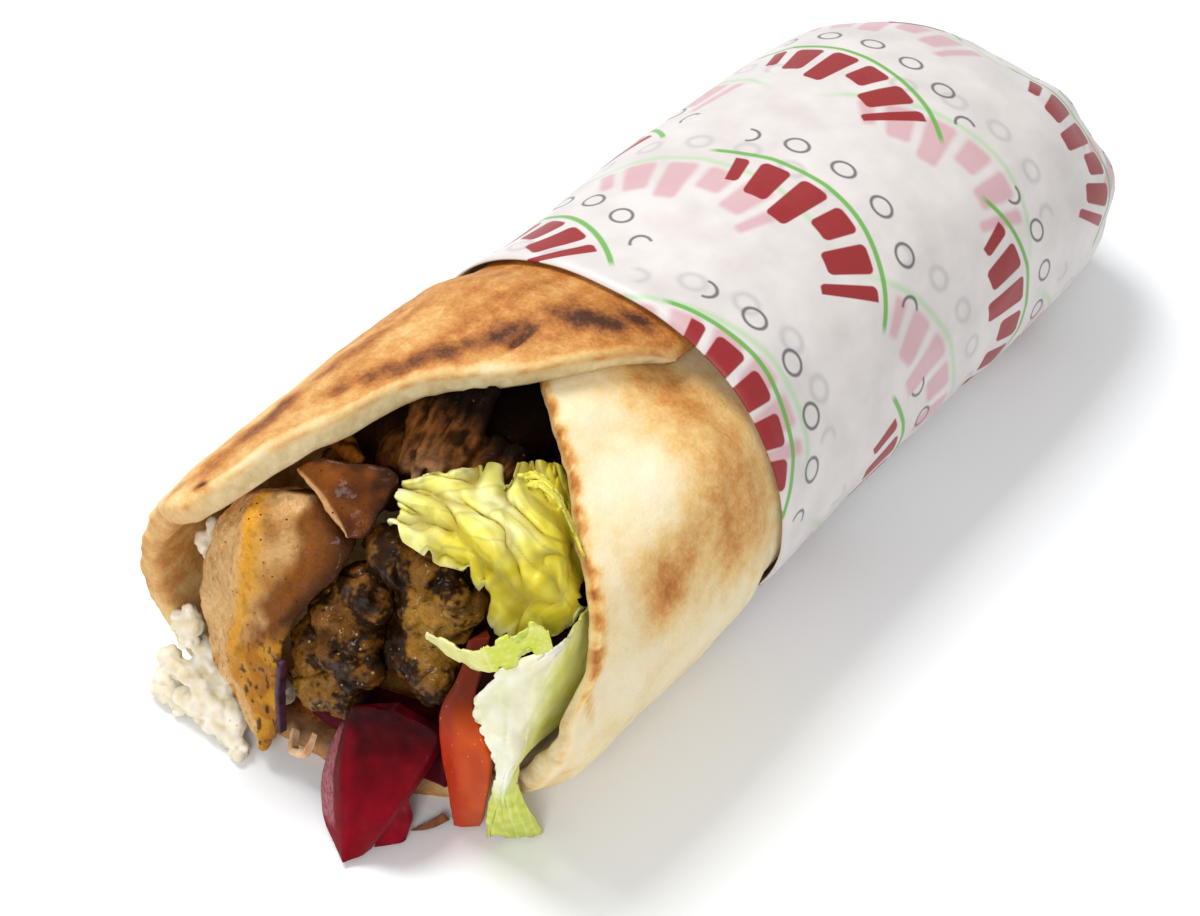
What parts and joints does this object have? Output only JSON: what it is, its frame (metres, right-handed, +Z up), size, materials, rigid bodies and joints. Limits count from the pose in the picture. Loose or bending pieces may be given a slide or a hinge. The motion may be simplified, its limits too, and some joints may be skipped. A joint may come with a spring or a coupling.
{
  "type": "doner kebab sandwich",
  "caption": "Rolled flatbread sandwich in greaseproof paper, lying on its side, with roast meat, lettuce, tomato, beetroot and crumbled cheese at its open mouth.",
  "frame": {"origin": "on the floor, under the middle of the object's box", "axes": "+Y runs along the roll from its open mouth to the folded paper end, +X to the side of the thin bread flap, +Z up"},
  "size_m": [0.091, 0.227, 0.0731],
  "materials": {
    "flatbread": "baked, browned in spots",
    "paper": "satin greaseproof paper, printed",
    "chicken": "moist, browned edges",
    "dark_meat": "glazed herb crust",
    "yellow_lettuce": "waxy leaf",
    "pale_lettuce": "waxy leaf",
    "tomato": "wet flesh",
    "beetroot": "wet, cut",
    "cheese": "crumbly, moist",
    "red_onion": "wet skin",
    "pale_onion": "translucent, moist",
    "crisp": "fried edge"
  },
  "bodies": {
    "root": {"flatbread": "flatbread", "paper_wrap": "paper", "chicken_filling": "dark_meat", "lettuce_filling": "pale_lettuce", "beetroot_filling": "beetroot", "cheese_crumbs": "cheese", "cheese_crumb_high": "cheese", "cheese_crumb_side": "cheese", "chicken_slice_front": "chicken", "chicken_slice_back": "chicken", "meat_chunk_left": "dark_meat", "meat_chunk_right": "dark_meat", "lettuce_leaf_yellow": "yellow_lettuce", "lettuce_leaf_pale": "pale_lettuce", "lettuce_shred": "pale_lettuce", "tomato_wedge": "tomato", "beetroot_slice_front": "beetroot", "beetroot_slice_back": "beetroot", "onion_strip": "red_onion", "onion_curl": "pale_onion", "crisp_sliver": "crisp"}
  },
  "joints": []
}
